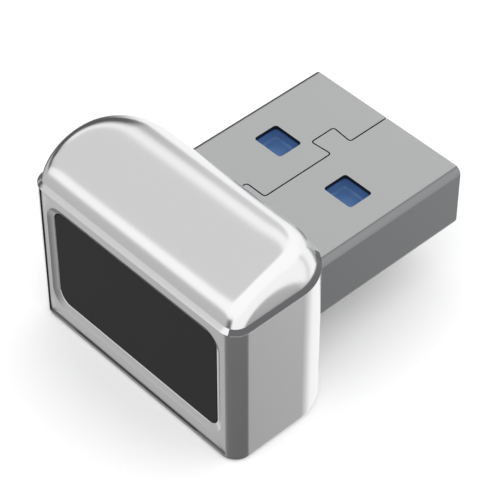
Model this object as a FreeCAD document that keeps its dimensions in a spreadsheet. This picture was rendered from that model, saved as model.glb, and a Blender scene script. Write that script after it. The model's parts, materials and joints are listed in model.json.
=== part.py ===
# USB fingerprint reader: a domed metal head with a touch sensor let into its front face and a
# standard USB-A plug at its rear.
#
# Frame: millimetres, +Z up. The origin is the centre of the overall box at its lowest face. +Y is the
# way the plug goes into a socket, so the sensor looks along -Y.

import FreeCAD, Part
import os

import Sketcher

doc = FreeCAD.newDocument("usb_fingerprint_reader")

# ---------------------------------------------------------------- driving dimensions

DIMENSIONS = [
    # head
    ("head_width", 16.9, "across X"),
    ("head_front", -10.0, "Y of the front face"),
    ("head_rear", -1.72, "Y of the rear face"),
    ("wall_height", 10.2, "top of the straight walls"),
    ("bevel", 0.25, "bevel round the top of the walls"),
    ("front_corner", 1.15, "upright edge radius at the front"),
    ("rear_corner", 3.3, "upright edge radius at the rear"),
    ("foot_round", 0.3, "rounding of the underside's edge"),
    ("dome_rise", 2.7, "dome height above the bevel"),
    ("dome_end_round", 1.35, "rounding of the dome's two ends"),
    ("cavity_width", 14.0, "hollow of the head across X"),
    ("cavity_front", -8.68, "Y of the ledge the bezel sits on"),
    ("cavity_rear", -2.9, "Y of the hollow's rear wall"),
    ("cavity_floor", 0.9, "Z of the hollow's floor"),
    ("cavity_roof", 9.7, "Z of the hollow's roof"),
    # front bezel and its opening
    ("bezel_width", 15.1, "across X"),
    ("bezel_bottom", 0.425, "Z of the lower edge"),
    ("bezel_top", 10.17, "Z of the upper edge"),
    ("bezel_inset", 0.12, "how far the bezel sits behind the front face"),
    ("bezel_gap", 0.07, "shadow gap at the sides and bottom"),
    ("bezel_edge", 0.06, "small bevel on the bezel's outer edge"),
    ("dish_width", 0.45, "width of the slope round the window"),
    ("dish_depth", 0.18, "depth of the slope round the window"),
    # sensor stack
    ("window_width", 13.42, "across X"),
    ("window_bottom", 1.76, "Z of the lower edge"),
    ("window_top", 8.94, "Z of the upper edge"),
    ("window_corner", 0.8, "corner radius"),
    ("window_front", -9.7, "Y of the touch face"),
    ("window_thick", 0.5, "depth"),
    ("window_fit", 0.03, "play round the window"),
    ("package_thick", 0.52, "sensor array depth"),
    ("package_border", 0.4, "bonding frame width"),
    ("sensor_board_thick", 0.6, "sensor board depth"),
    ("sensor_board_width", 13.6, "across X"),
    ("sensor_board_height", 8.2, "up Z"),
    ("stiffener_thick", 0.3, "stiffener depth"),
    ("flex_width", 5.0, "flat strip across X"),
    ("flex_thick", 0.15, "flat strip"),
    ("flex_bend", 0.5, "radius at the middle of the strip"),
    # plug, measured from its own axis
    ("plug_height", 6.0, "Z of the plug's axis"),
    ("plug_width", 12.0, "standard USB-A"),
    ("plug_thick", 4.5, "standard USB-A"),
    ("plug_tip", 10.0, "Y of the plug's mouth"),
    ("plug_root", -3.2, "Y of the plug shell's rear end"),
    ("plug_sheet", 0.3, "sheet metal"),
    ("plug_fold", 0.5, "outside radius of the folds"),
    ("slot_pitch", 5.77, "between the two latch windows"),
    ("slot_width", 2.18, "latch window across X"),
    ("slot_length", 1.76, "latch window along Y"),
    ("slot_middle", 3.92, "Y of the latch windows"),
    ("slot_corner", 0.2, "corner radius"),
    ("seam_gap", 0.06, "width of the folded sheet's seam"),
    ("seam_step", -1.5, "X of the tab's end and of the seam behind the step"),
    ("tab_front", 6.97, "Y"),
    ("tab_rear", 5.41, "Y"),
    ("tab_flare", 0.13, "how much wider the tab is at its end, each side"),
    ("step_back", 0.15, "Y where the seam steps aside"),
    ("collar_width", 0.43, "wall of the ring round the plug"),
    ("collar_inset", 0.13, "behind the rear face"),
    ("tongue_side", 5.66, "half width of the tongue"),
    ("tongue_top", 1.93, "above the axis"),
    ("tongue_under", 0.08, "above the axis"),
    ("tongue_tip", 9.4, "Y of the tongue's end"),
    ("tongue_root", -2.0, "Y of the tongue's rear"),
    ("pocket_depth", 0.75, "latch pocket in the tongue"),
    ("pocket_margin", 0.12, "pocket beyond the window, each side"),
    ("holder_front", 0.8, "Y of the contact holder's front"),
    # contacts
    ("strip", 0.15, "contact strip thickness"),
    ("blade_width", 1.0, "USB 2 contact pad"),
    ("blade_start", 4.2, "Y where the pad begins"),
    ("blade_end", 8.8, "Y where the pad ends"),
    ("tail_width", 0.4, "narrow part of each contact"),
    ("tail_end", -3.3, "Y of the soldered end"),
    ("spring_width", 0.5, "SuperSpeed contact"),
    ("spring_dip", 0.48, "how far a SuperSpeed contact bows down"),
    # boards and parts on them
    ("board_width", 12.8, "main board across X"),
    ("board_neck", 10.4, "main board inside the plug"),
    ("board_front", -7.3, "Y"),
    ("board_shoulder", -3.4, "Y where the board narrows"),
    ("board_rear", -2.05, "Y"),
    ("board_thick", 0.8, "main board"),
    ("board_top", 5.4, "Z of the main board's upper face"),
]

dims = doc.addObject("Spreadsheet::Sheet", "dims")
for row, (alias, number, note) in enumerate(DIMENSIONS, start=1):
    dims.set(f"A{row}", alias)
    dims.set(f"B{row}", str(number))
    dims.set(f"C{row}", note)
    dims.setAlias(f"B{row}", alias)
doc.recompute()

finished = []


def bind(thing, **expressions):
    """Bind properties to expressions; a double underscore in a name stands for a dot."""
    for name, expression in expressions.items():
        thing.setExpression(name.replace("__", "."), expression)
    return thing


def value(expression):
    """Present value of a sheet expression, in millimetres."""
    number = dims.evalExpression(expression)
    return float(getattr(number, "Value", number))


def place(thing, x="0", y="0", z="0"):
    return bind(thing, Placement__Base__x=x, Placement__Base__y=y, Placement__Base__z=z)


def sub_part(thing, label):
    """Mark an object as one physical piece; its label becomes the node's name."""
    thing.Label = label
    finished.append(thing)
    return thing


def block(name, size, corner):
    """Block with its size and lowest corner given as sheet expressions."""
    box = doc.addObject("Part::Box", name)
    bind(box, Length=size[0], Width=size[1], Height=size[2])
    return place(box, *corner)


def span(name, x, y, z):
    """Block between pairs of sheet expressions, low and high, along each axis."""
    size = [f"({high}) - ({low})" for low, high in (x, y, z)]
    return block(name, size, [x[0], y[0], z[0]])


def along(edge, axis):
    """True for a straight edge that runs along one axis, given as 'x', 'y' or 'z'."""
    if not isinstance(edge.Curve, Part.Line):
        return False
    return abs(getattr(edge.tangentAt(edge.FirstParameter), axis)) > 0.999


def rounded(name, base, radius, wanted):
    """Fillet the wanted edges; radius is a function of the edge."""
    doc.recompute()
    fillet = doc.addObject("Part::Fillet", name)
    fillet.Base = base
    edges = list(enumerate(base.Shape.Edges, start=1))
    fillet.Edges = [(i, radius(e), radius(e)) for i, e in edges if wanted(e)]
    return fillet


def bevelled(name, base, first, second, wanted):
    """Chamfer the wanted edges with two legs."""
    doc.recompute()
    chamfer = doc.addObject("Part::Chamfer", name)
    chamfer.Base = base
    edges = list(enumerate(base.Shape.Edges, start=1))
    chamfer.Edges = [(i, first, second) for i, e in edges if wanted(e)]
    return chamfer


def fuse(name, *shapes):
    union = doc.addObject("Part::MultiFuse", name)
    union.Shapes = list(shapes)
    return union


def cut(name, base, tool):
    difference = doc.addObject("Part::Cut", name)
    difference.Base = base
    difference.Tool = tool
    return difference


def origin_plane(body, role):
    return next(f for f in body.Origin.OriginFeatures if f.Role == role)


def outline_sketch(body, name, role, points):
    """Closed outline of straight sides; every corner is bound to the sheet."""
    sketch = body.newObject("Sketcher::SketchObject", name)
    sketch.AttachmentSupport = [(origin_plane(body, role), "")]
    sketch.MapMode = "FlatFace"
    corners = [FreeCAD.Vector(value(u), value(v), 0) for u, v in points]
    count = len(corners)
    for i, corner in enumerate(corners):
        sketch.addGeometry(Part.LineSegment(corner, corners[(i + 1) % count]), False)
    for i in range(count):
        sketch.addConstraint(Sketcher.Constraint("Coincident", i, 2, (i + 1) % count, 1))
    for i, (u, v) in enumerate(points):
        for kind, expression in (("DistanceX", u), ("DistanceY", v)):
            index = sketch.addConstraint(
                Sketcher.Constraint(kind, -1, 1, i, 1, value(expression))
            )
            sketch.setExpression(f"Constraints[{index}]", expression)
    return sketch


def rectangle(x, y):
    """Corner points of a rectangle from two low-high pairs of expressions."""
    return [(x[0], y[0]), (x[1], y[0]), (x[1], y[1]), (x[0], y[1])]


def pad(body, sketch, length, midplane=False):
    feature = body.newObject("PartDesign::Pad", sketch.Name + "_pad")
    feature.Profile = sketch
    feature.Midplane = midplane
    bind(feature, Length=length)
    return feature


def pocket(body, sketch, length, midplane=False, reverse=False):
    """Pocket that must remove material: the volume is compared before and after."""
    doc.recompute()
    before = body.Shape.Volume
    feature = body.newObject("PartDesign::Pocket", sketch.Name + "_pocket")
    feature.Profile = sketch
    feature.Midplane = midplane
    feature.Reversed = reverse
    bind(feature, Length=length)
    doc.recompute()
    if not body.Shape.Volume < before - 1e-6:
        raise RuntimeError(f"{feature.Name} removed nothing")
    return feature


def soften(body, name, radius, wanted):
    """PartDesign fillet on the wanted edges of the body's tip."""
    doc.recompute()
    tip = body.Tip
    names = [f"Edge{i}" for i, e in enumerate(tip.Shape.Edges, start=1) if wanted(e)]
    feature = body.newObject("PartDesign::Fillet", name)
    feature.Base = (tip, names)
    bind(feature, Radius=radius)
    return feature


# ---------------------------------------------------------------- head

HEAD_X = ("-dims.head_width / 2", "dims.head_width / 2")
BEVEL_TOP = "(dims.wall_height + dims.bevel)"
HALF_CHORD = "((dims.head_rear - dims.head_front) / 2 - dims.bevel)"
ARCH_RADIUS = f"(({HALF_CHORD}^2 + dims.dome_rise^2) / (2 * dims.dome_rise))"
HEAD_MIDDLE = "((dims.head_front + dims.head_rear) / 2)"
DOME_TOP = f"({BEVEL_TOP} + dims.dome_rise)"


def upright_rounded(name, base, inset="0"):
    """Round the four upright edges, small at the front and large at the rear."""
    middle = value(HEAD_MIDDLE)

    def radius(edge):
        at_front = edge.CenterOfMass.y < middle
        corner = "dims.front_corner" if at_front else "dims.rear_corner"
        return value(f"{corner} - {inset}")

    return rounded(name, base, radius, lambda edge: along(edge, "z"))


def make_dome():
    """Barrel lying along X, cut to the outline inside the bevel."""
    barrel = doc.addObject("Part::Cylinder", "barrel")
    bind(barrel, Radius=ARCH_RADIUS, Height="dims.head_width - 2 * dims.bevel")
    barrel.Placement.Rotation = FreeCAD.Rotation(FreeCAD.Vector(0, 1, 0), -90)
    place(barrel, "dims.head_width / 2 - dims.bevel", HEAD_MIDDLE, f"{DOME_TOP} - {ARCH_RADIUS}")
    end_round = value("dims.dome_end_round")
    soft_barrel = rounded(
        "soft_barrel", barrel, lambda edge: end_round, lambda edge: isinstance(edge.Curve, Part.Circle)
    )
    cap = span(
        "cap",
        ("-dims.head_width / 2 + dims.bevel", "dims.head_width / 2 - dims.bevel"),
        ("dims.head_front + dims.bevel", "dims.head_rear - dims.bevel"),
        ("dims.wall_height - dims.bevel", f"{DOME_TOP} + dims.bevel"),
    )
    cap_outline = upright_rounded("cap_outline", cap, "dims.bevel")
    dome = doc.addObject("Part::Common", "dome")
    dome.Base = soft_barrel
    dome.Tool = cap_outline
    return dome


def make_head_shell():
    walls = span("walls", HEAD_X, ("dims.head_front", "dims.head_rear"), ("0", BEVEL_TOP))
    upright = upright_rounded("upright_walls", walls)
    top, bevel, foot = value(BEVEL_TOP), value("dims.bevel"), value("dims.foot_round")
    bevel_ring = bevelled(
        "bevelled_walls", upright, bevel, bevel, lambda e: e.BoundBox.ZMin > top - 0.01
    )
    footed = rounded(
        "footed_walls", bevel_ring, lambda edge: foot, lambda e: e.BoundBox.ZMax < 0.01
    )
    solid = fuse("head_solid", footed, make_dome())
    opening_side = "(dims.bezel_width / 2 + dims.bezel_gap)"
    opening = span(
        "bezel_opening",
        (f"-{opening_side}", opening_side),
        ("dims.head_front - 1", "dims.cavity_front"),
        ("dims.bezel_bottom - dims.bezel_gap", "dims.bezel_top"),
    )
    hollow = span(
        "hollow",
        ("-dims.cavity_width / 2", "dims.cavity_width / 2"),
        ("dims.cavity_front - 0.5", "dims.cavity_rear"),
        ("dims.cavity_floor", "dims.cavity_roof"),
    )
    hole_side = "(dims.plug_width / 2 + dims.collar_width + 0.03)"
    hole_rise = "(dims.plug_thick / 2 + dims.collar_width + 0.03)"
    plug_hole = span(
        "plug_hole",
        (f"-{hole_side}", hole_side),
        ("dims.cavity_rear - 0.5", "dims.head_rear + 1"),
        (f"dims.plug_height - {hole_rise}", f"dims.plug_height + {hole_rise}"),
    )
    soft_hole = rounded(
        "soft_plug_hole",
        plug_hole,
        lambda edge: value("dims.plug_fold + dims.collar_width"),
        lambda edge: along(edge, "y"),
    )
    sub_part(cut("head_cut", solid, fuse("head_tools", opening, hollow, soft_hole)), "head_shell")


def make_front_bezel():
    front = "(dims.head_front + dims.bezel_inset)"
    plate = span(
        "bezel_plate",
        ("-dims.bezel_width / 2", "dims.bezel_width / 2"),
        (front, "dims.cavity_front"),
        ("dims.bezel_bottom", "dims.bezel_top"),
    )
    side = "(dims.window_width / 2 + dims.window_fit)"
    hole = span(
        "window_hole",
        (f"-{side}", side),
        (f"{front} - 1", "dims.cavity_front + 1"),
        ("dims.window_bottom - dims.window_fit", "dims.window_top + dims.window_fit"),
    )
    soft_hole = rounded(
        "soft_window_hole", hole, lambda edge: value("dims.window_corner"), lambda e: along(e, "y")
    )
    pierced = cut("pierced_bezel", plate, soft_hole)
    front_y = value(front)
    half_window = value("dims.window_width / 2") + 0.1

    def at_front(edge):
        return abs(edge.BoundBox.YMin - front_y) < 0.01 and abs(edge.BoundBox.YMax - front_y) < 0.01

    def round_window(edge):
        box = edge.BoundBox
        inside = max(abs(box.XMin), abs(box.XMax)) < half_window
        return at_front(edge) and inside

    dished = bevelled(
        "dished_bezel", pierced, value("dims.dish_depth"), value("dims.dish_width"), round_window
    )
    edge_bevel = value("dims.bezel_edge")
    half_bezel = value("dims.bezel_width / 2") - 0.01

    def outer_rim(edge):
        box = edge.BoundBox
        return at_front(edge) and max(abs(box.XMin), abs(box.XMax)) > half_bezel

    sub_part(bevelled("bezel", dished, edge_bevel, edge_bevel, outer_rim), "front_bezel")


# ---------------------------------------------------------------- sensor stack

WINDOW_BACK = "(dims.window_front + dims.window_thick)"
PACKAGE_BACK = f"({WINDOW_BACK} + dims.package_thick)"
SENSOR_BOARD_BACK = f"({PACKAGE_BACK} + dims.sensor_board_thick)"
STIFFENER_BACK = f"({SENSOR_BOARD_BACK} + dims.stiffener_thick)"
WINDOW_MIDDLE = "((dims.window_bottom + dims.window_top) / 2)"


def centred_plate(name, width, y, height):
    """Upright plate centred on the window."""
    return span(
        name,
        (f"-({width}) / 2", f"({width}) / 2"),
        y,
        (f"{WINDOW_MIDDLE} - ({height}) / 2", f"{WINDOW_MIDDLE} + ({height}) / 2"),
    )


def make_sensor_stack():
    height = "(dims.window_top - dims.window_bottom)"
    window = centred_plate(
        "window_plate", "dims.window_width", ("dims.window_front", WINDOW_BACK), height
    )
    sub_part(
        rounded("window", window, lambda e: value("dims.window_corner"), lambda e: along(e, "y")),
        "sensor_window",
    )
    inner_width = "(dims.window_width - 2 * dims.package_border)"
    inner_height = f"({height} - 2 * dims.package_border)"
    package_y = (WINDOW_BACK, PACKAGE_BACK)
    sub_part(centred_plate("package", inner_width, package_y, inner_height), "sensor_package")
    frame = centred_plate("adhesive_plate", "dims.window_width", package_y, height)
    soft_frame = rounded(
        "soft_adhesive", frame, lambda e: value("dims.window_corner"), lambda e: along(e, "y")
    )
    hole = centred_plate("adhesive_hole", inner_width, package_y, inner_height)
    sub_part(cut("adhesive", soft_frame, hole), "sensor_adhesive")
    board_y = (PACKAGE_BACK, SENSOR_BOARD_BACK)
    sub_part(
        centred_plate("sensor_pcb", "dims.sensor_board_width", board_y, "dims.sensor_board_height"),
        "sensor_board",
    )
    stiffener_y = (SENSOR_BOARD_BACK, STIFFENER_BACK)
    sub_part(
        centred_plate(
            "stiffener_plate",
            "dims.sensor_board_width - 0.8",
            stiffener_y,
            "dims.sensor_board_height - 0.8",
        ),
        "sensor_stiffener",
    )


CONNECTOR_FRONT = "(dims.board_front + 0.4)"
CONNECTOR_RISE = 0.9
FLEX_LEVEL = f"(dims.board_top - dims.board_thick - {CONNECTOR_RISE} / 2)"


def make_flex():
    """Strip down the back of the stiffener, round a quarter bend and into the connector."""
    half, thick, bend = "dims.flex_width / 2", "dims.flex_thick", "dims.flex_bend"
    bend_z = f"({FLEX_LEVEL} + {bend})"
    bend_y = f"({STIFFENER_BACK} + {thick} / 2 + {bend})"
    upright = span(
        "flex_upright",
        (f"-{half}", half),
        (STIFFENER_BACK, f"{STIFFENER_BACK} + {thick}"),
        (bend_z, f"{bend_z} + 3.5"),
    )
    level = span(
        "flex_level",
        (f"-{half}", half),
        (bend_y, CONNECTOR_FRONT),
        (f"{FLEX_LEVEL} - {thick} / 2", f"{FLEX_LEVEL} + {thick} / 2"),
    )
    quarters = []
    for name, radius in (("flex_outer", f"{bend} + {thick} / 2"), ("flex_inner", f"{bend} - {thick} / 2")):
        quarter = doc.addObject("Part::Cylinder", name)
        bind(quarter, Radius=radius, Height="dims.flex_width")
        quarter.Angle = 90
        quarter.Placement.Rotation = FreeCAD.Rotation(
            FreeCAD.Vector(0, -1, 0), FreeCAD.Vector(0, 0, -1), FreeCAD.Vector(1, 0, 0), "ZXY"
        )
        quarters.append(place(quarter, f"-{half}", bend_y, bend_z))
    turn = cut("flex_turn", *quarters)
    sub_part(fuse("flex", upright, turn, level), "sensor_flex")
    rise = str(CONNECTOR_RISE)
    sub_part(
        span(
            "socket",
            ("-dims.flex_width / 2 - 0.4", "dims.flex_width / 2 + 0.4"),
            (CONNECTOR_FRONT, f"{CONNECTOR_FRONT} + 1.1"),
            (f"dims.board_top - dims.board_thick - {rise}", "dims.board_top - dims.board_thick"),
        ),
        "flex_connector",
    )


# ---------------------------------------------------------------- main board

BOARD_UNDER = "(dims.board_top - dims.board_thick)"

# One row per chip on the upper face: label, middle X, middle Y, size X, size Y, height.
CHIPS = [
    ("controller_chip", -3.5, -5.3, 3.4, 3.4, 0.8),
    ("flash_chip", -0.3, -6.0, 2.0, 2.0, 0.7),
    ("crystal", -0.3, -4.1, 2.0, 1.2, 0.5),
    ("regulator_chip", 2.0, -6.2, 1.6, 1.6, 0.7),
    ("inductor", 2.0, -4.3, 1.6, 1.2, 0.8),
]
ESD_CHIP = ("esd_chip", 0.0, -4.6, 2.0, 1.0, 0.6)
CAPACITOR_SIZE = (1.0, 0.5, 0.5)
CAPACITORS = [(3.9, -5.2), (3.9, -4.2), (5.6, -6.7), (5.6, -5.8), (5.6, -4.9), (5.6, -4.0)]
RESISTOR_SIZE = (0.6, 0.3, 0.25)


def chip(name, x, y, size, level, below=False):
    """Component body standing on the board's upper face, or hanging under it."""
    length, width, height = size
    base = f"{level} - {height}" if below else level
    return block(name, (str(length), str(width), str(height)), (str(x - length / 2), str(y - width / 2), base))


def make_main_board():
    wide = span(
        "board_plate",
        ("-dims.board_width / 2", "dims.board_width / 2"),
        ("dims.board_front", "dims.board_shoulder"),
        (BOARD_UNDER, "dims.board_top"),
    )
    neck = span(
        "board_tongue",
        ("-dims.board_neck / 2", "dims.board_neck / 2"),
        ("dims.board_shoulder", "dims.board_rear"),
        (BOARD_UNDER, "dims.board_top"),
    )
    sub_part(fuse("board", wide, neck), "main_board")
    for label, x, y, length, width, height in CHIPS:
        sub_part(chip(label + "_body", x, y, (length, width, height), "dims.board_top"), label)
    label, x, y, length, width, height = ESD_CHIP
    sub_part(chip(label + "_body", x, y, (length, width, height), BOARD_UNDER, below=True), label)
    capacitors = [
        chip(f"capacitor_{i}", x, y, CAPACITOR_SIZE, "dims.board_top") for i, (x, y) in enumerate(CAPACITORS)
    ]
    sub_part(fuse("capacitor_group", *capacitors), "capacitors")
    resistors = [
        chip(f"resistor_{i}", -4.0 + 1.6 * i, -5.4, RESISTOR_SIZE, BOARD_UNDER, below=True)
        for i in range(6)
    ]
    sub_part(fuse("resistor_group", *resistors), "resistors")


def make_ground_spring():
    """Folded leaf from the board up to the head's roof."""
    strip = "dims.strip"
    across = ("3.3", "4.7")
    front = "(dims.board_front + 0.1)"
    foot = span(
        "leaf_foot", across, (front, f"{front} + 0.8"), ("dims.board_top", f"dims.board_top + {strip}")
    )
    riser = span(
        "leaf_riser", across, (front, f"{front} + {strip}"), ("dims.board_top", "dims.cavity_roof")
    )
    top = span(
        "leaf_top", across, (front, f"{front} + 1.2"), (f"dims.cavity_roof - {strip}", "dims.cavity_roof")
    )
    sub_part(fuse("leaf", foot, riser, top), "ground_spring")


def make_inner_frame():
    """Two rails and a rear bar that carry the board."""
    rails = [
        span(
            f"rail_{name}",
            (low, high),
            ("dims.board_front", "dims.board_shoulder"),
            ("dims.cavity_floor", BOARD_UNDER),
        )
        for name, low, high in (("left", "-6.9", "-5.3"), ("right", "5.3", "6.9"))
    ]
    bar = span(
        "rear_bar",
        ("-6.9", "6.9"),
        ("dims.board_shoulder", "dims.cavity_rear - 0.02"),
        ("dims.cavity_floor", "dims.plug_height - dims.plug_thick / 2"),
    )
    sub_part(fuse("carrier", *rails, bar), "inner_frame")


# ---------------------------------------------------------------- plug

def plug_body(label):
    """Body whose own origin lies on the plug's axis."""
    body = doc.addObject("PartDesign::Body", label + "_body")
    place(body, z="dims.plug_height")
    return sub_part(body, label)


def latch_windows(margin="0"):
    """The two latch windows as low-high pairs across X and along Y."""
    length = f"(dims.slot_length / 2 + {margin})"
    width = f"(dims.slot_width / 2 + {margin})"
    along_y = (f"dims.slot_middle - {length}", f"dims.slot_middle + {length}")
    for side, middle in (("left", "-dims.slot_pitch / 2"), ("right", "dims.slot_pitch / 2")):
        yield side, (f"{middle} - {width}", f"{middle} + {width}"), along_y


def round_latch_corners(body, name):
    """Round the upright corners of the latch windows or of the pockets under them."""
    reach = value("dims.slot_length")
    middle = value("dims.slot_middle")
    half = value("dims.slot_pitch / 2")

    def corner(edge):
        spot = edge.CenterOfMass
        return along(edge, "z") and abs(spot.y - middle) < reach and abs(abs(spot.x) - half) < reach

    soften(body, name, "dims.slot_corner", corner)


def seam_outline():
    """Thin band where the folded sheet's two edges meet, with a dovetail tab and a step in it."""
    half = "dims.seam_gap / 2"
    # X, Y and which way the band leans as it turns the corner.
    middle_line = [
        ("0", "dims.plug_tip + 1", 0),
        ("0", "dims.tab_front", -1),
        ("dims.seam_step", "dims.tab_front + dims.tab_flare", -1),
        ("dims.seam_step", "dims.tab_rear - dims.tab_flare", 1),
        ("0", "dims.tab_rear", 1),
        ("0", "dims.step_back", -1),
        ("dims.seam_step", "dims.step_back", -1),
        ("dims.seam_step", "dims.plug_root - 1", 0),
    ]
    out = [(f"{x} + {half}", f"{y} + {lean} * {half}") for x, y, lean in middle_line]
    back = [(f"{x} - {half}", f"{y} - {lean} * {half}") for x, y, lean in reversed(middle_line)]
    return out + back


def make_usb_shell():
    body = plug_body("usb_shell")
    rise, side = "dims.plug_thick / 2", "dims.plug_width / 2"
    section = rectangle((f"-{side}", side), (f"-{rise}", rise))
    profile = outline_sketch(body, "shell_profile", "XZ_Plane", section)
    # The XZ plane's normal is -Y, so the tube grows backwards from a profile set at the mouth.
    bind(profile, AttachmentOffset__Base__z="-dims.plug_tip")
    pad(body, profile, "dims.plug_tip - dims.plug_root")
    soften(body, "shell_folds", "dims.plug_fold", lambda e: along(e, "y"))
    doc.recompute()
    tube = body.Tip
    ends = [
        f"Face{i}" for i, face in enumerate(tube.Shape.Faces, start=1) if abs(face.normalAt(0, 0).y) > 0.99
    ]
    skin = body.newObject("PartDesign::Thickness", "shell_skin")
    skin.Base = (tube, ends)
    skin.Mode = 0
    skin.Join = 0
    skin.Reversed = True
    bind(skin, Value="dims.plug_sheet")
    doc.recompute()
    for side_name, across, along_y in latch_windows():
        window = outline_sketch(body, f"shell_window_{side_name}", "XY_Plane", rectangle(across, along_y))
        pocket(body, window, "dims.plug_thick + 1", midplane=True)
    round_latch_corners(body, "shell_window_corners")
    seam = outline_sketch(body, "shell_seam", "XY_Plane", seam_outline())
    pocket(body, seam, "dims.plug_thick", reverse=True)


def make_insulator():
    body = plug_body("usb_insulator")
    across = ("-dims.tongue_side", "dims.tongue_side")
    tongue = outline_sketch(
        body, "tongue_outline", "XY_Plane", rectangle(across, ("dims.tongue_root", "dims.tongue_tip"))
    )
    bind(tongue, AttachmentOffset__Base__z="dims.tongue_under")
    pad(body, tongue, "dims.tongue_top - dims.tongue_under")
    for side, pocket_x, pocket_y in latch_windows("dims.pocket_margin"):
        sketch = outline_sketch(body, f"latch_pocket_{side}", "XY_Plane", rectangle(pocket_x, pocket_y))
        bind(sketch, AttachmentOffset__Base__z="dims.tongue_top")
        pocket(body, sketch, "dims.pocket_depth")
    round_latch_corners(body, "latch_pocket_corners")


def make_contact_holder():
    body = plug_body("contact_holder")
    across = ("-dims.tongue_side", "dims.tongue_side")
    sketch = outline_sketch(
        body, "holder_outline", "XY_Plane", rectangle(across, ("dims.tongue_root", "dims.holder_front"))
    )
    bind(sketch, AttachmentOffset__Base__z="-dims.tongue_top")
    pad(body, sketch, "dims.tongue_top + dims.tongue_under - dims.strip")


UPPER = "dims.tongue_under"
LOWER = "(dims.tongue_under - dims.strip)"
SOLDER = "(dims.board_top - dims.plug_height)"
JOG = "(dims.board_rear - 0.05)"


def tail_points(front_points):
    """Contact outline in the YZ plane: soldered foot, step up, then along to the given points."""
    rear = [
        ("dims.tail_end", SOLDER),
        (JOG, SOLDER),
        (JOG, LOWER),
    ]
    back = [
        (f"{JOG} - dims.strip", UPPER),
        (f"{JOG} - dims.strip", f"{SOLDER} + dims.strip"),
        ("dims.tail_end", f"{SOLDER} + dims.strip"),
    ]
    return rear + front_points + back


def make_contacts():
    # Label, middle X of the pad, middle X of the narrow tail.
    flat_blades = [
        ("contact_vbus", -3.5, -3.2),
        ("contact_data_minus", -1.0, -1.0),
        ("contact_data_plus", 1.0, 1.0),
        ("contact_ground", 3.5, 3.2),
    ]
    for label, pad_x, tail_x in flat_blades:
        body = plug_body(label)
        place(body, x=str(pad_x), z="dims.plug_height")
        tail_top = [("dims.blade_start", LOWER), ("dims.blade_start", UPPER)]
        tail = outline_sketch(body, label + "_tail", "YZ_Plane", tail_points(tail_top))
        bind(tail, AttachmentOffset__Base__z=str(tail_x - pad_x))
        pad(body, tail, "dims.tail_width", midplane=True)
        flat = rectangle(("dims.blade_start", "dims.blade_end"), (LOWER, UPPER))
        blade = outline_sketch(body, label + "_blade", "YZ_Plane", flat)
        pad(body, blade, "dims.blade_width", midplane=True)
    springs = [
        ("contact_ss_rx_minus", -4.0),
        ("contact_ss_rx_plus", -2.0),
        ("contact_drain", 0.0),
        ("contact_ss_tx_minus", 2.0),
        ("contact_ss_tx_plus", 4.0),
    ]
    dip = "dims.spring_dip"
    bow = [
        ("dims.holder_front + 0.3", LOWER),
        ("dims.holder_front + 1.5", f"{LOWER} - {dip}"),
        ("dims.holder_front + 2.3", f"{LOWER} - {dip} / 3"),
        ("dims.holder_front + 2.3", f"{UPPER} - {dip} / 3"),
        ("dims.holder_front + 1.5", f"{UPPER} - {dip}"),
        ("dims.holder_front + 0.3", UPPER),
    ]
    for label, x in springs:
        body = plug_body(label)
        place(body, x=str(x), z="dims.plug_height")
        outline = outline_sketch(body, label + "_outline", "YZ_Plane", tail_points(bow))
        pad(body, outline, "dims.spring_width", midplane=True)


def make_rear_collar():
    wall, fold = "dims.collar_width", "dims.plug_fold"
    inner_x, inner_z = "(dims.plug_width / 2)", "(dims.plug_thick / 2)"
    rings = []
    for name, grow in (("collar_outer", wall), ("collar_inner", "0.01")):
        ring = span(
            name,
            (f"-{inner_x} - {grow}", f"{inner_x} + {grow}"),
            ("dims.cavity_rear", "dims.head_rear - dims.collar_inset"),
            (f"dims.plug_height - {inner_z} - {grow}", f"dims.plug_height + {inner_z} + {grow}"),
        )
        rings.append(
            rounded("soft_" + name, ring, lambda e, g=grow: value(f"{fold} + {g}"), lambda e: along(e, "y"))
        )
    sub_part(cut("collar", *rings), "rear_collar")


# ---------------------------------------------------------------- build, check, write

make_head_shell()
make_front_bezel()
make_sensor_stack()
make_flex()
make_main_board()
make_ground_spring()
make_inner_frame()
make_usb_shell()
make_insulator()
make_contact_holder()
make_contacts()
make_rear_collar()
doc.recompute()

faults = [thing.Name for thing in doc.Objects if {"Invalid", "Error"} & set(thing.State)]
faults += [part.Label for part in finished if part.Shape.isNull() or not part.Shape.isValid()]
if faults:
    raise RuntimeError("failed: " + ", ".join(faults))

os.makedirs("parts", exist_ok=True)
for part in finished:
    part.Shape.exportStep(f"parts/{part.Label}.step")
    box = part.Shape.BoundBox
    print(
        f"{part.Label:22s} solids {len(part.Shape.Solids)} volume {part.Shape.Volume:8.3f} "
        f"x {box.XMin:.2f}..{box.XMax:.2f} y {box.YMin:.2f}..{box.YMax:.2f} z {box.ZMin:.2f}..{box.ZMax:.2f}"
    )
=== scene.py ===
import json
import math

import bmesh
import bpy
from mathutils import Matrix, Vector


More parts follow.
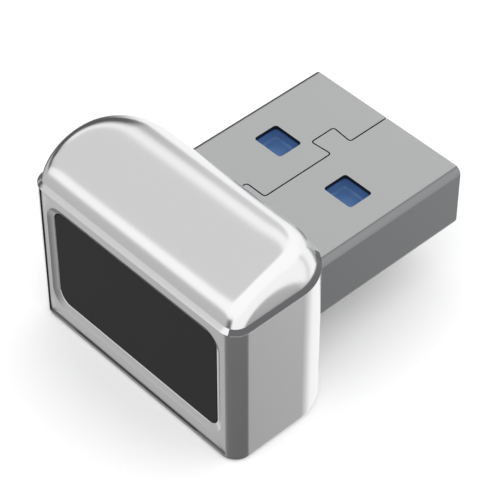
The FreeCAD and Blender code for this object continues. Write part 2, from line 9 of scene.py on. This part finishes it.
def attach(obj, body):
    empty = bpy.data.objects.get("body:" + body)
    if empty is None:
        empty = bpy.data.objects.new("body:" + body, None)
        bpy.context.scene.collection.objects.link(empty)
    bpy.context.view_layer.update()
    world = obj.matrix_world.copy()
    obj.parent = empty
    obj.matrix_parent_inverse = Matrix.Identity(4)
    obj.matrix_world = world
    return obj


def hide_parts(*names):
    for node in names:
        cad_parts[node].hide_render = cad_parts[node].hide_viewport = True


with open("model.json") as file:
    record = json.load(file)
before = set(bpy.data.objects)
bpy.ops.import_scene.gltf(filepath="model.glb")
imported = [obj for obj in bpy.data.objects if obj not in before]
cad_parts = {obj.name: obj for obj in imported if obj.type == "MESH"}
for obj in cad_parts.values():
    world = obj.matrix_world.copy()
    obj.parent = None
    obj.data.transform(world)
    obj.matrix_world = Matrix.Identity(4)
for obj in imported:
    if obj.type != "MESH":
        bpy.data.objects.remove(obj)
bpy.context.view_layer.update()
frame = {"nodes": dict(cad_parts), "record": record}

MM = 0.001
NODES = frame["nodes"]


# ---------------------------------------------------------------- mesh helpers

def new_piece(name, verts, faces, replaces=()):
    """Mesh piece from millimetre points, riding on the reader's one body."""
    mesh = bpy.data.meshes.new(name)
    mesh.from_pydata([tuple(c * MM for c in v) for v in verts], [], faces)
    piece = bpy.data.objects.new(name, mesh)
    bpy.context.scene.collection.objects.link(piece)
    work = bmesh.new()
    work.from_mesh(mesh)
    bmesh.ops.remove_doubles(work, verts=work.verts, dist=1e-7)
    bmesh.ops.recalc_face_normals(work, faces=work.faces)
    work.to_mesh(mesh)
    work.free()
    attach(piece, "root")
    if replaces:
        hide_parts(*replaces)
    return piece


def apply_modifiers(piece):
    """Bake the piece's modifiers into its mesh."""
    bpy.context.view_layer.update()
    graph = bpy.context.evaluated_depsgraph_get()
    baked = bpy.data.meshes.new_from_object(piece.evaluated_get(graph))
    piece.modifiers.clear()
    piece.data = baked


def bevel(piece, width, angle=32, segments=3):
    """Round every edge sharper than the angle."""
    mod = piece.modifiers.new("edges", "BEVEL")
    mod.width = width * MM
    mod.segments = segments
    mod.limit_method = "ANGLE"
    mod.angle_limit = math.radians(angle)
    mod.use_clamp_overlap = True


def smooth(piece, angle=35):
    """Smooth shading, with edges sharper than the angle kept and flat faces weighted."""
    mesh = piece.data
    mesh.polygons.foreach_set("use_smooth", [True] * len(mesh.polygons))
    mesh.set_sharp_from_angle(angle=math.radians(angle))
    mod = piece.modifiers.new("flat_faces", "WEIGHTED_NORMAL")
    mod.mode = "FACE_AREA"
    mod.weight = 80
    mod.keep_sharp = True


def carve(piece, verts, faces):
    """Cut a closed tool shape, in millimetres, out of the piece."""
    mesh = bpy.data.meshes.new("tool")
    mesh.from_pydata([tuple(c * MM for c in v) for v in verts], [], faces)
    tool = bpy.data.objects.new("tool", mesh)
    bpy.context.scene.collection.objects.link(tool)
    work = bmesh.new()
    work.from_mesh(mesh)
    bmesh.ops.recalc_face_normals(work, faces=work.faces)
    work.to_mesh(mesh)
    work.free()
    mod = piece.modifiers.new("carve", "BOOLEAN")
    mod.operation = "DIFFERENCE"
    mod.solver = "EXACT"
    mod.object = tool
    apply_modifiers(piece)
    bpy.data.objects.remove(tool)
    bpy.data.meshes.remove(mesh)


def arc(centre, radius, start, end, steps):
    """Points of an arc in a plane, angles in degrees."""
    for i in range(steps + 1):
        t = math.radians(start + (end - start) * i / steps)
        yield centre[0] + radius * math.cos(t), centre[1] + radius * math.sin(t)


def rounded_rectangle(low, high, radius, steps=8):
    """Anticlockwise outline with rounded corners, in a plane."""
    (x0, y0), (x1, y1) = low, high
    corners = [
        ((x1 - radius, y1 - radius), 0),
        ((x0 + radius, y1 - radius), 90),
        ((x0 + radius, y0 + radius), 180),
        ((x1 - radius, y0 + radius), 270),
    ]
    points = []
    for centre, start in corners:
        points += list(arc(centre, radius, start, start + 90, steps))
    return points


def prism(outline, low, high, place):
    """Closed prism over an outline; place turns (u, v, depth) into a point."""
    count = len(outline)
    verts = [place(u, v, w) for w in (low, high) for u, v in outline]
    faces = [tuple(range(count)), tuple(range(2 * count - 1, count - 1, -1))]
    faces += [(i, (i + 1) % count, count + (i + 1) % count, count + i) for i in range(count)]
    return verts, faces


def upright(u, v, w):
    """Outline in X and Z, depth along Y."""
    return (u, w, v)


def level(u, v, w):
    """Outline in X and Y, depth along Z."""
    return (u, v, w)


def loft(rings, close_first=True, close_last=True):
    """Faces joining rings of equal length, all closed loops."""
    verts = [p for ring in rings for p in ring]
    count = len(rings[0])
    faces = []
    for k in range(len(rings) - 1):
        for i in range(count):
            j = (i + 1) % count
            faces.append((k * count + i, k * count + j, (k + 1) * count + j, (k + 1) * count + i))
    if close_first:
        faces.append(tuple(range(count)))
    if close_last:
        faces.append(tuple(range(len(verts) - count, len(verts))))
    return verts, faces


# ---------------------------------------------------------------- materials

def material(name, color, metallic, roughness, bump=0.0, scale=40.0, spread=0.04, stretch=(1, 1, 1),
             tint=0.03, ior=1.5):
    """Principled surface with fine variation in colour, roughness and height."""
    mat = bpy.data.materials.new(name)
    mat.use_nodes = True
    tree = mat.node_tree
    nodes, links = tree.nodes, tree.links
    shader = nodes["Principled BSDF"]
    shader.inputs["Metallic"].default_value = metallic
    shader.inputs["IOR"].default_value = ior
    where = nodes.new("ShaderNodeTexCoord")
    mapping = nodes.new("ShaderNodeMapping")
    mapping.inputs["Scale"].default_value = [s * 1000 for s in stretch]
    links.new(where.outputs["Object"], mapping.inputs["Vector"])
    grain = nodes.new("ShaderNodeTexNoise")
    grain.inputs["Scale"].default_value = scale
    grain.inputs["Detail"].default_value = 4
    links.new(mapping.outputs["Vector"], grain.inputs["Vector"])
    rough = nodes.new("ShaderNodeMapRange")
    rough.inputs["To Min"].default_value = max(0.02, roughness - spread)
    rough.inputs["To Max"].default_value = roughness + spread
    links.new(grain.outputs["Fac"], rough.inputs["Value"])
    links.new(rough.outputs["Result"], shader.inputs["Roughness"])
    shade = nodes.new("ShaderNodeMix")
    shade.data_type = "RGBA"
    shade.inputs["A"].default_value = [c * (1 - tint) for c in color] + [1]
    shade.inputs["B"].default_value = [min(1, c * (1 + tint)) for c in color] + [1]
    cloud = nodes.new("ShaderNodeTexNoise")
    cloud.inputs["Scale"].default_value = scale / 8
    links.new(mapping.outputs["Vector"], cloud.inputs["Vector"])
    links.new(cloud.outputs["Fac"], shade.inputs["Factor"])
    links.new(shade.outputs["Result"], shader.inputs["Base Color"])
    if bump:
        height = nodes.new("ShaderNodeBump")
        height.inputs["Strength"].default_value = bump
        height.inputs["Distance"].default_value = 0.000005
        links.new(grain.outputs["Fac"], height.inputs["Height"])
        links.new(height.outputs["Normal"], shader.inputs["Normal"])
    return mat


def paint(piece, *mats):
    piece.data.materials.clear()
    for mat in mats:
        piece.data.materials.append(mat)


POLISHED = {"metallic": 1.0, "bump": 0.02, "scale": 30, "spread": 0.02, "tint": 0.01}
BRUSHED = {"metallic": 1.0, "bump": 0.05, "scale": 40, "spread": 0.03, "tint": 0.02}
SHEET = {"metallic": 1.0, "bump": 0.12, "scale": 60, "spread": 0.04, "tint": 0.02}
SATIN = material("satin_metal", (0.90, 0.90, 0.905), roughness=0.17, **POLISHED)
BEVELS = material("cut_bevel", (0.86, 0.86, 0.865), roughness=0.16, **POLISHED)
# Painted shade: a dark copy of the bevel metal for the bevel at the left and right ends, standing in for
# the shade seen there.
SHADED_END_BEVELS = material("bevel_ends_painted_shade", (0.13, 0.13, 0.135), roughness=0.20, **POLISHED)
# Painted shade: a dark copy of the head metal for the walls of the front opening, standing in for the shade
# in the gap round the bezel.
GAP_SHADE = material("opening_edge_painted_shade", (0.30, 0.30, 0.305), roughness=0.35, **BRUSHED)
RIM = material("bezel_metal", (0.80, 0.80, 0.81), roughness=0.24, **BRUSHED)
STEEL = material("plug_steel", (0.62, 0.63, 0.625), roughness=0.34, **SHEET)
# Painted shade: a darker copy of the plug steel for its sides, standing in for the shade on them.
STEEL_SIDE_SHADE = material("plug_steel_side_painted_shade", (0.27, 0.275, 0.28), roughness=0.30, **SHEET)
# Painted shade: near-black steel for the walls of the latch windows and the seam, standing in for the shade
# inside them.
WINDOW_WALL_SHADE = material("plug_window_wall_painted_shade", (0.05, 0.055, 0.065), roughness=0.45, **SHEET)
TOUCH = material("touch_black", (0.014, 0.014, 0.0145), 0.0, 0.62, bump=0.10, scale=120, spread=0.05,
                 ior=1.33)
BLUE = material("tongue_blue", (0.085, 0.185, 0.40), 0.0, 0.32, bump=0.10, scale=20, spread=0.05)
BLACK = material("black_plastic", (0.03, 0.03, 0.033), 0.0, 0.5, bump=0.2, scale=20, spread=0.06)
GOLD = material("contact_gold", (0.86, 0.66, 0.30), 1.0, 0.25, bump=0.05, scale=30)
LAMINATE = material("board_laminate", (0.02, 0.16, 0.07), 0.0, 0.35, bump=0.1, scale=6, tint=0.2)
CHIP = material("chip_epoxy", (0.028, 0.028, 0.03), 0.0, 0.6, bump=0.3, scale=30)
CERAMIC = material("small_ceramic", (0.55, 0.47, 0.36), 0.0, 0.45, bump=0.1, scale=10, tint=0.1)
CAN = material("steel_can", (0.62, 0.63, 0.64), 1.0, 0.3, bump=0.1, scale=30)
FILM = material("flex_film", (0.45, 0.22, 0.05), 0.0, 0.3, bump=0.05, scale=10, tint=0.1)
TAPE = material("bonding_tape", (0.05, 0.05, 0.05), 0.0, 0.8, bump=0.3, scale=20)

BY_SLOT = {
    "satin_metal": SATIN, "plug_steel": STEEL, "touch_black": TOUCH, "tongue_blue": BLUE,
    "holder_plastic": BLACK, "contact_metal": GOLD, "board_laminate": LAMINATE, "chip_plastic": CHIP,
    "small_ceramic": CERAMIC, "crystal_can": CAN, "flex_film": FILM, "adhesive": TAPE,
    "carrier_plastic": BLACK,
}
for part in frame["record"]["subparts"]:
    node = NODES[part["node"]]
    paint(node, BY_SLOT[part["material_slot"]])


# ---------------------------------------------------------------- head

# Millimetres; the outline is the head seen from above.
HALF_X, FRONT, REAR = 8.45, -10.0, -1.72
FRONT_R, REAR_R = 0.88, 3.03
WALL_TOP, DOME_BASE, DOME_TOP = 10.2, 10.45, 13.15
INSET = 0.27
CAP_X, CAP_FRONT, CAP_REAR = HALF_X - INSET, FRONT + INSET, REAR - INSET
FOOT_ROUND = 0.32
# The dome's ends roll off over END_ROUND; a smaller SHOULDER fills out its front and rear.
END_ROUND, END_POWER, SHOULDER = 3.5, 4.2, 0.91
ARCH_STEPS = 72
OPENING_X, OPENING_LOW, OPENING_HIGH, LEDGE = 7.62, 0.355, 10.17, -8.68
# Hole in the rear wall round the plug.
PLUG_AXIS = 6.0
HOLE_X, HOLE_Z, HOLE_R, HOLE_DEPTH = 6.46, 2.71, 0.93, 2.9


def edge_y(x, front):
    """Y of the cap outline's front or rear edge, and the plan normal there."""
    radius = FRONT_R if front else REAR_R
    over = max(0.0, abs(x) - (CAP_X - radius))
    rise = math.sqrt(max(0.0, radius * radius - over * over))
    nx = math.copysign(over / radius, x)
    ny = rise / radius
    if front:
        return CAP_FRONT + radius - rise, nx, -ny
    return CAP_REAR - radius + rise, nx, ny


def stations():
    """X positions across the head, close together round the corners and one at each side of the opening."""
    start = CAP_X - REAR_R
    middle = CAP_X - FRONT_R
    smallest_gap = 0.0015
    half = [start * i / 8 for i in range(8)]
    half += [start + REAR_R * math.sin(math.radians(a)) for a in range(0, 45, 3)]
    half += [middle + FRONT_R * math.sin(math.radians(a)) for a in range(0, 91, 3)]
    side = FRONT_R * (OPENING_X - middle) / (FRONT_R + INSET)
    half = sorted(half + [middle + side])
    kept = [half[0]]
    for x in half[1:]:
        if x - kept[-1] > smallest_gap:
            kept.append(x)
    return [-x for x in reversed(kept[1:])] + kept


def dome_points(xs):
    """Columns of points from the front edge over the dome to the rear edge."""
    rise = DOME_TOP - DOME_BASE
    half = (CAP_REAR - CAP_FRONT) / 2
    radius = (half * half + rise * rise) / (2 * rise)
    points = []
    for x in xs:
        over = max(0.0, 1 - (CAP_X - abs(x)) / END_ROUND)
        top = rise * (1 - over ** END_POWER) ** (1 / END_POWER)
        y0, y1 = edge_y(x, True)[0], edge_y(x, False)[0]
        for k in range(ARCH_STEPS + 1):
            s = math.sin(math.pi * (k / ARCH_STEPS - 0.5))
            drop = radius - math.sqrt(radius * radius - (s * half) ** 2)
            share = max(0.0, 1 - drop / rise) ** SHOULDER
            points.append((x, (y0 + y1) / 2 + s * (y1 - y0) / 2, DOME_BASE + top * share))
    return points


def dome_faces(columns):
    """Faces between neighbouring columns, and the thin one at each end."""
    step = ARCH_STEPS + 1
    faces = []
    for i in range(columns - 1):
        for k in range(ARCH_STEPS):
            here, ahead = i * step + k, (i + 1) * step + k
            faces.append((here, ahead, ahead + 1, here + 1))
    last = (columns - 1) * step
    return faces + [tuple(range(step)), tuple(range(last, last + step))]


def wall_rings(xs):
    """Closed loops round the head: bevel, both levels of the opening, and the rounded foot."""
    base = [(x, *edge_y(x, True)) for x in xs] + [(x, *edge_y(x, False)) for x in reversed(xs)]
    levels = [(0.0, DOME_BASE), (INSET, WALL_TOP), (INSET, OPENING_HIGH), (INSET, OPENING_LOW)]
    levels += [
        (INSET - FOOT_ROUND + out, FOOT_ROUND - down)
        for out, down in arc((0, 0), FOOT_ROUND, 0, 90, 6)
    ]
    return [[(x + nx * out, y + ny * out, z) for x, y, nx, ny in base] for out, z in levels]


def paint_head(piece):
    """Bevel, painted shade on the bevel at the ends, and painted shade on the edge of the front opening."""
    paint(piece, SATIN, BEVELS, SHADED_END_BEVELS, GAP_SHADE)
    near = 0.001
    close = 0.01
    for face in piece.data.polygons:
        zs = [piece.data.vertices[v].co.z / MM for v in face.vertices]
        if min(zs) > WALL_TOP - near and max(zs) < DOME_BASE + near and face.normal.z > 0.3:
            # The bevel at the left and right ends, picked by its normal, takes the dark copy: painted
            # shade.
            face.material_index = 2 if face.normal.x > 0.3 or face.normal.x < -0.66 else 1
        x, y, z = face.center / MM
        across = abs(x) < OPENING_X + close
        along = FRONT + close < y < LEDGE + close
        # Walls of the front opening take painted shade.
        if across and along and FOOT_ROUND - 0.02 < z < OPENING_HIGH + close:
            face.material_index = 3


def make_head():
    xs = stations()
    verts = dome_points(xs)
    faces = dome_faces(len(xs))
    rings = wall_rings(xs)
    first, count = len(verts), len(rings[0])
    for ring in rings:
        verts += ring
    inside = [i for i in range(len(xs)) if abs(rings[1][i][0]) <= OPENING_X + 1e-4]
    upper, lower = 2, 3
    for k in range(len(rings) - 1):
        for i in range(count):
            j = (i + 1) % count
            if not (k == upper and i in inside and j in inside):
                a = first + k * count
                faces.append((a + i, a + j, a + count + j, a + count + i))
    last = first + (len(rings) - 1) * count
    faces.append(tuple(range(last, last + count)))

    mouth = [first + upper * count + i for i in inside]
    mouth += [first + lower * count + i for i in reversed(inside)]
    back = len(verts)
    verts += [(verts[i][0], LEDGE, verts[i][2]) for i in mouth]
    for i in range(len(mouth)):
        j = (i + 1) % len(mouth)
        faces.append((mouth[i], mouth[j], back + j, back + i))
    faces.append(tuple(range(back, back + len(mouth))))

    piece = new_piece("head_skin", verts, faces, ["head_shell"])
    hole = rounded_rectangle((-HOLE_X, PLUG_AXIS - HOLE_Z), (HOLE_X, PLUG_AXIS + HOLE_Z), HOLE_R)
    carve(piece, *prism(hole, -HOLE_DEPTH, 0.0, upright))
    paint_head(piece)
    bevel(piece, 0.035, segments=2)
    apply_modifiers(piece)
    smooth(piece, 30)


make_head()


# ---------------------------------------------------------------- bezel and touch face

WINDOW_X, WINDOW_LOW, WINDOW_HIGH, WINDOW_R = 6.71, 1.76, 8.94, 0.78
WINDOW_FACE, WINDOW_THICK, WINDOW_FIT = -9.70, 0.5, 0.03
BEZEL_X, BEZEL_FACE, BEZEL_WINDOW_R = 7.55, -9.88, 0.8
DISH_WIDTH, DISH_DEPTH = 0.46, 0.17


def make_bezel():
    """Rim with a shallow dish round the window."""
    play = OPENING_X - BEZEL_X
    low, high = OPENING_LOW + play, OPENING_HIGH
    x, z0, z1 = WINDOW_X + WINDOW_FIT, WINDOW_LOW - WINDOW_FIT, WINDOW_HIGH + WINDOW_FIT

    def outline(grow, y):
        corner = BEZEL_WINDOW_R + grow
        points = rounded_rectangle((-x - grow, z0 - grow), (x + grow, z1 + grow), corner, 12)
        return [(u, y, v) for u, v in points]

    outer = rounded_rectangle((-BEZEL_X, low), (BEZEL_X, high), 0.12, 12)
    rings = [
        [(u, LEDGE, v) for u, v in outer],
        [(u, BEZEL_FACE, v) for u, v in outer],
        outline(DISH_WIDTH, BEZEL_FACE),
        outline(DISH_WIDTH * 0.55, BEZEL_FACE + DISH_DEPTH * 0.62),
        outline(WINDOW_FIT, BEZEL_FACE + DISH_DEPTH),
        outline(0.0, BEZEL_FACE + DISH_DEPTH + WINDOW_FIT),
        outline(0.0, LEDGE),
    ]
    rings.append(rings[0])
    verts, faces = loft(rings, close_first=False, close_last=False)
    piece = new_piece("bezel_rim", verts, faces, ["front_bezel"])
    paint(piece, RIM)
    bevel(piece, 0.05, angle=25, segments=3)
    apply_modifiers(piece)
    smooth(piece)


def make_window():
    """Matt touch face, standing a little behind the bezel's face."""
    outline = rounded_rectangle((-WINDOW_X, WINDOW_LOW), (WINDOW_X, WINDOW_HIGH), WINDOW_R, 12)
    verts, faces = prism(outline, WINDOW_FACE, WINDOW_FACE + WINDOW_THICK, upright)
    piece = new_piece("touch_face", verts, faces, ["sensor_window"])
    paint(piece, TOUCH)
    bevel(piece, 0.05, segments=3)
    apply_modifiers(piece)
    smooth(piece)


make_bezel()
make_window()


# ---------------------------------------------------------------- plug

SHELL_X, SHELL_Z, SHELL_WALL = 6.0, 2.25, 0.3
SHELL_TIP, SHELL_ROOT = 10.0, -3.2
SLOT_X, SLOT_LENGTH, SLOT_MIDDLE, SLOT_PITCH, SLOT_R = 2.18, 1.76, 3.92, 5.77, 0.2
SEAM_STEP, SEAM_TURN, SEAM_HALF = 1.5, 0.22, 0.035
ABOVE = 12.0


def slot_outline(side, half_x, half_y, radius):
    """Outline centred on the latch window at one side of the plug."""
    middle = side * SLOT_PITCH / 2
    low = (middle - half_x, SLOT_MIDDLE - half_y)
    return rounded_rectangle(low, (middle + half_x, SLOT_MIDDLE + half_y), radius, 6)


def make_plug_shell():
    outer = rounded_rectangle((-SHELL_X, PLUG_AXIS - SHELL_Z), (SHELL_X, PLUG_AXIS + SHELL_Z), 0.5, 10)
    x, z = SHELL_X - SHELL_WALL, SHELL_Z - SHELL_WALL
    inner = rounded_rectangle((-x, PLUG_AXIS - z), (x, PLUG_AXIS + z), 0.2, 10)
    rings = [
        [(u, SHELL_ROOT, v) for u, v in inner],
        [(u, SHELL_ROOT, v) for u, v in outer],
        [(u, SHELL_TIP, v) for u, v in outer],
        [(u, SHELL_TIP, v) for u, v in inner],
    ]
    rings.append(rings[0])
    verts, faces = loft(rings, close_first=False, close_last=False)
    piece = new_piece("plug_sleeve", verts, faces, ["usb_shell"])
    for side in (-1, 1):
        hole = slot_outline(side, SLOT_X / 2, SLOT_LENGTH / 2, SLOT_R)
        carve(piece, *prism(hole, 0.0, ABOVE, level))
    carve(piece, *prism(seam_outline(), PLUG_AXIS, ABOVE, level))
    paint_plug(piece)
    bevel(piece, 0.03, angle=50, segments=2)
    apply_modifiers(piece)
    smooth(piece)


def paint_plug(piece):
    """Painted shade: darker sides, and dark cut edges in the windows and the seam on top."""
    paint(piece, STEEL, STEEL_SIDE_SHADE, WINDOW_WALL_SHADE)
    for face in piece.data.polygons:
        x, y, z = face.center / MM
        # The sides take the darker copy: painted shade.
        if abs(face.normal.x) > 0.25 and abs(x) > SHELL_X - 0.5:
            face.material_index = 1
        # Walls of the windows and the seam take painted shade.
        elif z > PLUG_AXIS + 1.9 and abs(face.normal.z) < 0.5 and abs(x) < 4.5 and -2 < y < 9:
            face.material_index = 2


def seam_outline():
    """Thin band along the seam: a dovetail tab, then a step, with rounded turns."""
    aside = -SEAM_STEP
    line = [(0, 11), (0, 6.97), (aside, 7.1), (aside, 5.28), (0, 5.41)]
    line += [(0, 0.15), (aside, 0.15), (aside, -4)]
    path = [Vector(line[0])]
    for before, corner, after in zip(line, line[1:], line[2:]):
        corner = Vector(corner)
        start = corner + (Vector(before) - corner).normalized() * SEAM_TURN
        end = corner + (Vector(after) - corner).normalized() * SEAM_TURN
        for i in range(7):
            t = i / 6
            path.append(start * (1 - t) ** 2 + corner * 2 * t * (1 - t) + end * t * t)
    path.append(Vector(line[-1]))
    left, right = [], []
    for i, point in enumerate(path):
        ahead = path[min(i + 1, len(path) - 1)] - path[max(i - 1, 0)]
        side = Vector((-ahead.y, ahead.x)).normalized() * SEAM_HALF
        left.append(tuple(point + side))
        right.append(tuple(point - side))
    return left + right[::-1]


def make_tongue():
    """Blue block with a softened pocket under each latch window."""
    block = rounded_rectangle((-5.66, -2.0), (5.66, 9.4), 0.15, 4)
    verts, faces = prism(block, PLUG_AXIS + 0.08, PLUG_AXIS + 1.93, level)
    pocket = [(1.18, -0.25), (1.3, -0.06), (1.5, 0.0), (2.2, 0.12)]
    piece = new_piece("blue_tongue", verts, faces, ["usb_insulator"])
    for side in (-1, 1):
        rings = []
        for height, grow in pocket:
            points = slot_outline(side, 1.2 + grow, 1.0 + grow, 0.35)
            rings.append([(u, v, PLUG_AXIS + height) for u, v in points])
        carve(piece, *loft(rings))
    paint(piece, BLUE)
    bevel(piece, 0.06, angle=40, segments=3)
    apply_modifiers(piece)
    smooth(piece)


make_plug_shell()
make_tongue()


# ---------------------------------------------------------------- floor, light and camera

def make_floor():
    size = 600
    just_below = -0.01
    verts = [(-size, -size), (size, -size), (size, size), (-size, size)]
    mesh = bpy.data.meshes.new("floor")
    mesh.from_pydata([(x * MM, y * MM, just_below * MM) for x, y in verts], [], [(0, 1, 2, 3)])
    floor = bpy.data.objects.new("floor", mesh)
    bpy.context.scene.collection.objects.link(floor)
    paper = material("floor_paper", (0.93, 0.93, 0.93), 0.0, 0.9, scale=2, tint=0.002, spread=0.02)
    paint(floor, paper)
    floor.visible_glossy = False


def make_world():
    """Studio surround: brightness depends on the direction that a polished face mirrors.

    X, Y and Z are the direction's parts to the right, to the rear and upward.
    """
    world = bpy.data.worlds.new("studio")
    bpy.context.scene.world = world
    world.use_nodes = True
    tree = world.node_tree
    nodes, links = tree.nodes, tree.links
    back = nodes["Background"]
    where = nodes.new("ShaderNodeTexCoord")
    split = nodes.new("ShaderNodeSeparateXYZ")
    links.new(where.outputs["Generated"], split.inputs["Vector"])

    def maths(operation, first, second):
        node = nodes.new("ShaderNodeMath")
        node.operation = operation
        for socket, given in zip(node.inputs, (first, second)):
            if isinstance(given, (int, float)):
                socket.default_value = given
            else:
                links.new(given, socket)
        return node.outputs[0]

    def times(first, second):
        return maths("MULTIPLY", first, second)

    def brightest(first, second):
        return maths("MAXIMUM", first, second)

    def step(source, low, high, start=0.0, end=1.0):
        """Smooth change from start to end as the source goes from low to high."""
        node = nodes.new("ShaderNodeMapRange")
        node.interpolation_type = "SMOOTHSTEP"
        links.new(source, node.inputs["Value"])
        node.inputs["From Min"].default_value = low
        node.inputs["From Max"].default_value = high
        node.inputs["To Min"].default_value = start
        node.inputs["To Max"].default_value = end
        return node.outputs["Result"]

    x, y, z = (split.outputs[i] for i in range(3))

    def along(east, north, up):
        """How far the direction points along a vector."""
        flat = maths("ADD", times(x, east), times(y, north))
        return maths("ADD", flat, times(z, up))

    white, grey, glow_gain, skirt_depth = 1.06, 0.68, 0.32, 0.88
    darkest, rear_shade, front_left, front_right, far_left = 0.13, 0.48, 0.52, 0.16, 0.9

    # A grey canopy over the left, with a softly brighter band low at its rear, in a white room.
    canopy = step(along(-0.664, 0.126, 0.737), 0.44, 0.50)
    band = times(step(z, 0.26, 0.36), step(z, 0.50, 0.66, 1.0, 0.0))
    glow = times(band, step(along(-0.66, 0.75, 0), 0.30, 0.62))
    roof = maths("ADD", grey, times(glow, glow_gain))
    upper = maths("ADD", white, times(canopy, maths("SUBTRACT", roof, white)))
    # A dark skirt just above the horizon on the left, higher straight to the left.
    skirt = times(step(z, 0.10, 0.34, 1.0, 0.0), step(x, -0.80, -0.58, 1.0, 0.0))
    curtain = times(step(z, 0.28, 0.50, 1.0, 0.0), step(along(-1.0, 0.2, 0), 0.70, 0.80))
    dark = times(brightest(skirt, curtain), skirt_depth)
    upper = times(upper, maths("SUBTRACT", 1.0, dark))
    # Below the horizon: white at the rear and on the right, shaded far down on the right.
    right = step(x, 0.15, 0.45)
    rear = times(step(y, 0.1, 0.6), step(x, -0.84, -0.62))
    rear = times(rear, maths("SUBTRACT", 1.0, times(right, rear_shade)))
    lower = brightest(rear, times(right, step(z, -0.69, -0.60)))
    # Grey in front, bright far down on the left, and dark elsewhere.
    front = times(
        step(along(-0.35, -0.95, 0), 0.2, 0.55), step(x, -0.4, 0.05, front_left, front_right)
    )
    left = times(step(z, -0.68, -0.52, far_left, 0.0), step(x, -0.64, -0.54, 1.0, 0.0))
    lower = brightest(brightest(brightest(lower, left), front), darkest)
    below = step(z, -0.06, 0.04, 1.0, 0.0)
    total = maths("ADD", upper, times(below, maths("SUBTRACT", lower, upper)))
    links.new(total, back.inputs["Strength"])
    back.inputs["Color"].default_value = (1, 1, 1, 1)


def make_light():
    """Broad overhead light for the floor; the polished faces mirror the surround only."""
    data = bpy.data.lights.new("overhead", "SUN")
    data.energy = 1.5
    data.angle = math.radians(120)
    light = bpy.data.objects.new("overhead", data)
    bpy.context.scene.collection.objects.link(light)
    light.location = (0, 0, 0.3)
    light.visible_glossy = False


def make_camera():
    """Standing off the sensor face's right corner, looking down at the reader."""
    azimuth, elevation, roll = (math.radians(a) for a in (46.94, 45.055, 0.091))
    flat = math.cos(elevation)
    back = Vector((math.sin(azimuth) * flat, -math.cos(azimuth) * flat, math.sin(elevation)))
    place = Vector((65.96, -62.62, 95.17)) * MM
    data = bpy.data.cameras.new("camera")
    data.sensor_width = 36
    data.lens = 159.9
    data.clip_start = 0.005
    camera = bpy.data.objects.new("camera", data)
    bpy.context.scene.collection.objects.link(camera)
    turn = back.to_track_quat("Z", "Y").to_matrix().to_4x4() @ Matrix.Rotation(roll, 4, "Z")
    camera.matrix_world = Matrix.Translation(place) @ turn
    bpy.context.scene.camera = camera


make_floor()
make_world()
make_light()
make_camera()
bpy.context.scene.view_settings.view_transform = "Standard"
